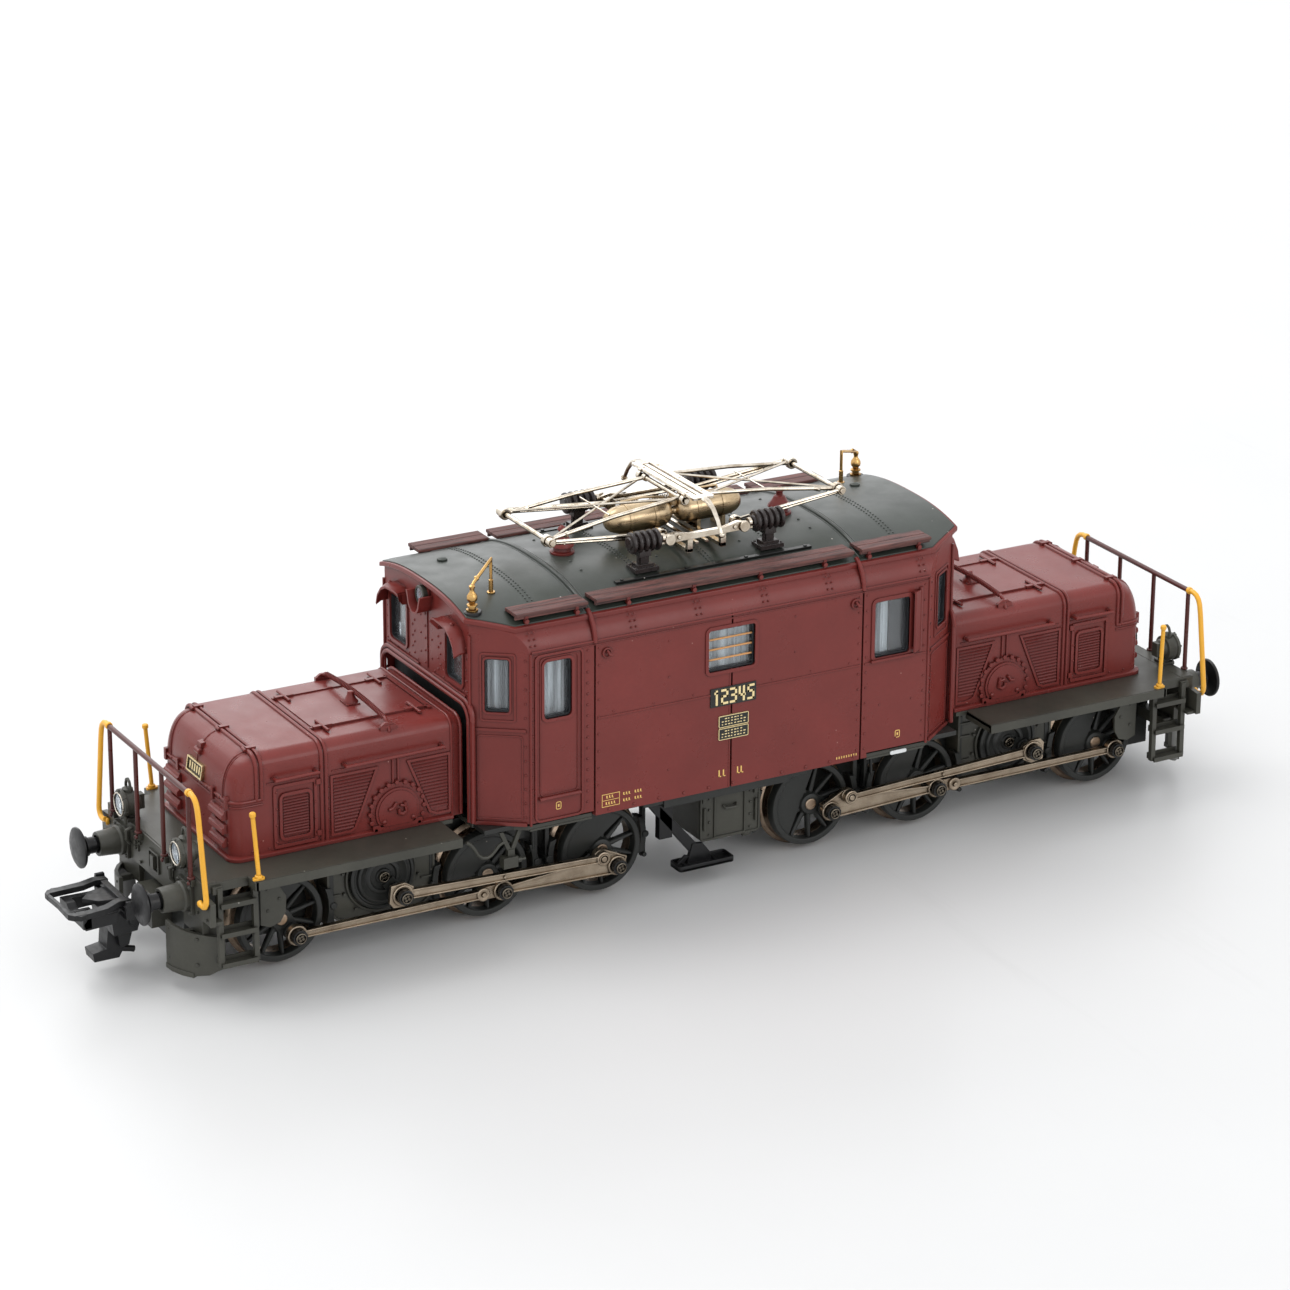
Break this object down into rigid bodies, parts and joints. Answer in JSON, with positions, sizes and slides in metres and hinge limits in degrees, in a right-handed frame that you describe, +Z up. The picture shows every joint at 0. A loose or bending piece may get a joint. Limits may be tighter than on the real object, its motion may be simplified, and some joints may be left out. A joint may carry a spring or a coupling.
{
  "type": "model electric locomotive",
  "caption": "Articulated model electric locomotive: a cab with a folding pantograph on two hooded trucks with coupled side rods.",
  "frame": {"origin": "centre of the loco on the plane of the rail tops", "axes": "+X along the loco to its rear end, +Y to its right side, +Z up"},
  "size_m": [0.1709, 0.0348, 0.0528],
  "materials": {
    "body_red": "satin",
    "roof_grey": "satin",
    "frame_grey": "satin",
    "wheel_black": "satin",
    "rod_nickel": "satin",
    "silver": "satin",
    "brass": "gloss",
    "insulator_brown": "gloss",
    "board_wood": "matt",
    "window_clear": "gloss",
    "board_green": "satin",
    "motor_steel": "satin",
    "coupler_black": "satin"
  },
  "bodies": {
    "cab": {"cab_shell": "body_red", "roof": "roof_grey", "window_insert": "window_clear", "underframe": "frame_grey", "motor": "motor_steel", "circuit_board": "board_green", "battery_box": "frame_grey", "step_bracket": "coupler_black", "left_roof_boards": "board_wood", "right_roof_boards": "board_wood", "front_whistle": "brass", "rear_whistle": "brass", "air_tank": "brass", "pantograph_base": "silver", "front_left_insulator": "insulator_brown", "front_right_insulator": "insulator_brown", "rear_left_insulator": "insulator_brown", "rear_right_insulator": "insulator_brown"},
    "front_truck": {"front_truck_frame": "frame_grey", "front_deck": "frame_grey", "front_hood": "body_red", "front_end_railing": "body_red", "front_left_lamp": "frame_grey", "front_right_lamp": "frame_grey"},
    "rear_truck": {"rear_truck_frame": "frame_grey", "rear_deck": "frame_grey", "rear_hood": "body_red", "rear_end_railing": "body_red", "rear_left_lamp": "frame_grey", "rear_right_lamp": "frame_grey"},
    "front_inner_wheelset": {"front_inner_wheelset": "wheel_black"},
    "front_middle_wheelset": {"front_middle_wheelset": "wheel_black"},
    "front_outer_wheelset": {"front_outer_wheelset": "wheel_black"},
    "front_jackshaft": {"front_jackshaft": "wheel_black"},
    "front_worm_shaft": {"front_worm_shaft": "motor_steel"},
    "front_left_rods": {"front_left_side_rod": "rod_nickel", "front_left_drive_rod": "rod_nickel"},
    "front_right_rods": {"front_right_side_rod": "rod_nickel", "front_right_drive_rod": "rod_nickel"},
    "front_left_buffer": {"front_left_buffer": "coupler_black"},
    "front_right_buffer": {"front_right_buffer": "coupler_black"},
    "rear_inner_wheelset": {"rear_inner_wheelset": "wheel_black"},
    "rear_middle_wheelset": {"rear_middle_wheelset": "wheel_black"},
    "rear_outer_wheelset": {"rear_outer_wheelset": "wheel_black"},
    "rear_jackshaft": {"rear_jackshaft": "wheel_black"},
    "rear_worm_shaft": {"rear_worm_shaft": "motor_steel"},
    "rear_left_rods": {"rear_left_side_rod": "rod_nickel", "rear_left_drive_rod": "rod_nickel"},
    "rear_right_rods": {"rear_right_side_rod": "rod_nickel", "rear_right_drive_rod": "rod_nickel"},
    "rear_left_buffer": {"rear_left_buffer": "coupler_black"},
    "rear_right_buffer": {"rear_right_buffer": "coupler_black"},
    "motor_shaft": {"motor_shaft": "motor_steel"},
    "front_lower_arm": {"front_lower_arm": "silver"},
    "front_upper_arm": {"front_upper_arm": "silver"},
    "rear_lower_arm": {"rear_lower_arm": "silver"},
    "rear_upper_arm": {"rear_upper_arm": "silver"},
    "contact_shoe": {"contact_shoe": "silver"},
    "coupler_head": {"coupler_head": "coupler_black"},
    "coupler_loop": {"coupler_loop": "coupler_black"}
  },
  "joints": [
    {"name": "front_truck_pivot", "type": "hinge", "parent": "cab", "child": "front_truck", "pos_m": [-0.032, 0, 0.0139], "axis": [0, 0, 1], "range_deg": [-6, 6]},
    {"name": "rear_truck_pivot", "type": "hinge", "parent": "cab", "child": "rear_truck", "pos_m": [0.032, 0, 0.0139], "axis": [0, 0, 1], "range_deg": [-6, 6]},
    {"name": "front_inner_axle", "type": "hinge", "parent": "front_truck", "child": "front_inner_wheelset", "pos_m": [-0.01608, 0, 0.006], "axis": [0, 1, 0], "continuous": true},
    {"name": "front_middle_axle", "type": "hinge", "parent": "front_truck", "child": "front_middle_wheelset", "pos_m": [-0.03303, 0, 0.006], "axis": [0, 1, 0], "continuous": true},
    {"name": "front_outer_axle", "type": "hinge", "parent": "front_truck", "child": "front_outer_wheelset", "pos_m": [-0.06254, 0, 0.006], "axis": [0, 1, 0], "continuous": true},
    {"name": "front_jackshaft_spin", "type": "hinge", "parent": "front_truck", "child": "front_jackshaft", "pos_m": [-0.048, 0, 0.00885], "axis": [0, 1, 0], "continuous": true},
    {"name": "front_worm_spin", "type": "hinge", "parent": "front_truck", "child": "front_worm_shaft", "pos_m": [-0.032, 0, 0.0179], "axis": [1, 0, 0], "continuous": true},
    {"name": "front_left_rod_pin", "type": "hinge", "parent": "front_inner_wheelset", "child": "front_left_rods", "pos_m": [-0.01457, 0, 0.004], "axis": [0, 1, 0], "continuous": true},
    {"name": "front_right_rod_pin", "type": "hinge", "parent": "front_inner_wheelset", "child": "front_right_rods", "pos_m": [-0.01408, 0, 0.00751], "axis": [0, 1, 0], "continuous": true},
    {"name": "front_left_buffer_slide", "type": "slide", "parent": "front_truck", "child": "front_left_buffer", "axis": [1, 0, 0], "range_m": [0, 0.0012], "stiffness_N_per_m": 120, "springref_m": -0.0002},
    {"name": "front_right_buffer_slide", "type": "slide", "parent": "front_truck", "child": "front_right_buffer", "axis": [1, 0, 0], "range_m": [0, 0.0012], "stiffness_N_per_m": 120, "springref_m": -0.0002},
    {"name": "rear_inner_axle", "type": "hinge", "parent": "rear_truck", "child": "rear_inner_wheelset", "pos_m": [0.01608, 0, 0.006], "axis": [0, 1, 0], "continuous": true},
    {"name": "rear_middle_axle", "type": "hinge", "parent": "rear_truck", "child": "rear_middle_wheelset", "pos_m": [0.03303, 0, 0.006], "axis": [0, 1, 0], "continuous": true},
    {"name": "rear_outer_axle", "type": "hinge", "parent": "rear_truck", "child": "rear_outer_wheelset", "pos_m": [0.06254, 0, 0.006], "axis": [0, 1, 0], "continuous": true},
    {"name": "rear_jackshaft_spin", "type": "hinge", "parent": "rear_truck", "child": "rear_jackshaft", "pos_m": [0.048, 0, 0.00885], "axis": [0, 1, 0], "continuous": true},
    {"name": "rear_worm_spin", "type": "hinge", "parent": "rear_truck", "child": "rear_worm_shaft", "pos_m": [0.032, 0, 0.0179], "axis": [1, 0, 0], "continuous": true},
    {"name": "rear_left_rod_pin", "type": "hinge", "parent": "rear_inner_wheelset", "child": "rear_left_rods", "pos_m": [0.0184, 0, 0.00506], "axis": [0, 1, 0], "continuous": true},
    {"name": "rear_right_rod_pin", "type": "hinge", "parent": "rear_inner_wheelset", "child": "rear_right_rods", "pos_m": [0.01702, 0, 0.00832], "axis": [0, 1, 0], "continuous": true},
    {"name": "rear_left_buffer_slide", "type": "slide", "parent": "rear_truck", "child": "rear_left_buffer", "axis": [-1, 0, 0], "range_m": [0, 0.0012], "stiffness_N_per_m": 120, "springref_m": -0.0002},
    {"name": "rear_right_buffer_slide", "type": "slide", "parent": "rear_truck", "child": "rear_right_buffer", "axis": [-1, 0, 0], "range_m": [0, 0.0012], "stiffness_N_per_m": 120, "springref_m": -0.0002},
    {"name": "motor_spin", "type": "hinge", "parent": "cab", "child": "motor_shaft", "pos_m": [0, 0, 0.0179], "axis": [1, 0, 0], "continuous": true},
    {"name": "front_lower_arm_hinge", "type": "hinge", "parent": "cab", "child": "front_lower_arm", "pos_m": [-0.0056, 0, 0.0473], "axis": [0, 1, 0], "range_deg": [0, 40]},
    {"name": "front_upper_arm_hinge", "type": "hinge", "parent": "front_lower_arm", "child": "front_upper_arm", "pos_m": [-0.02184, 0, 0.04887], "axis": [0, -1, 0], "range_deg": [0, 74.5]},
    {"name": "rear_lower_arm_hinge", "type": "hinge", "parent": "cab", "child": "rear_lower_arm", "pos_m": [0.0056, 0, 0.0473], "axis": [0, -1, 0], "range_deg": [0, 40]},
    {"name": "rear_upper_arm_hinge", "type": "hinge", "parent": "rear_lower_arm", "child": "rear_upper_arm", "pos_m": [0.02184, 0, 0.04887], "axis": [0, 1, 0], "range_deg": [0, 74.5]},
    {"name": "contact_shoe_hinge", "type": "hinge", "parent": "front_upper_arm", "child": "contact_shoe", "pos_m": [-0.0015, 0, 0.051], "axis": [0, 1, 0], "range_deg": [0, 34.5]},
    {"name": "coupler_swing", "type": "hinge", "parent": "front_truck", "child": "coupler_head", "pos_m": [-0.0756, 0, 0.007], "axis": [0, 0, 1], "range_deg": [-12, 12], "stiffness_Nm_per_rad": 0.002},
    {"name": "coupler_loop_lift", "type": "hinge", "parent": "coupler_head", "child": "coupler_loop", "pos_m": [-0.0809, 0, 0.0095], "axis": [0, 1, 0], "range_deg": [0, 25]}
  ],
  "couplings": [
    {"joint": "front_middle_axle", "follows": "front_inner_axle", "ratio": 1},
    {"joint": "front_outer_axle", "follows": "front_inner_axle", "ratio": 1},
    {"joint": "front_jackshaft_spin", "follows": "front_inner_axle", "ratio": 1},
    {"joint": "front_worm_spin", "follows": "front_inner_axle", "ratio": 10},
    {"joint": "front_left_rod_pin", "follows": "front_inner_axle", "ratio": -1},
    {"joint": "front_right_rod_pin", "follows": "front_inner_axle", "ratio": -1},
    {"joint": "rear_inner_axle", "follows": "front_inner_axle", "ratio": 1},
    {"joint": "rear_middle_axle", "follows": "front_inner_axle", "ratio": 1},
    {"joint": "rear_outer_axle", "follows": "front_inner_axle", "ratio": 1},
    {"joint": "rear_jackshaft_spin", "follows": "front_inner_axle", "ratio": 1},
    {"joint": "rear_worm_spin", "follows": "front_inner_axle", "ratio": 10},
    {"joint": "rear_left_rod_pin", "follows": "front_inner_axle", "ratio": -1},
    {"joint": "rear_right_rod_pin", "follows": "front_inner_axle", "ratio": -1},
    {"joint": "motor_spin", "follows": "front_inner_axle", "ratio": 10},
    {"joint": "rear_lower_arm_hinge", "follows": "front_lower_arm_hinge", "ratio": 1},
    {"joint": "front_upper_arm_hinge", "follows": "front_lower_arm_hinge", "ratio": 1.86},
    {"joint": "rear_upper_arm_hinge", "follows": "front_lower_arm_hinge", "ratio": 1.86},
    {"joint": "contact_shoe_hinge", "follows": "front_lower_arm_hinge", "ratio": 0.86}
  ]
}
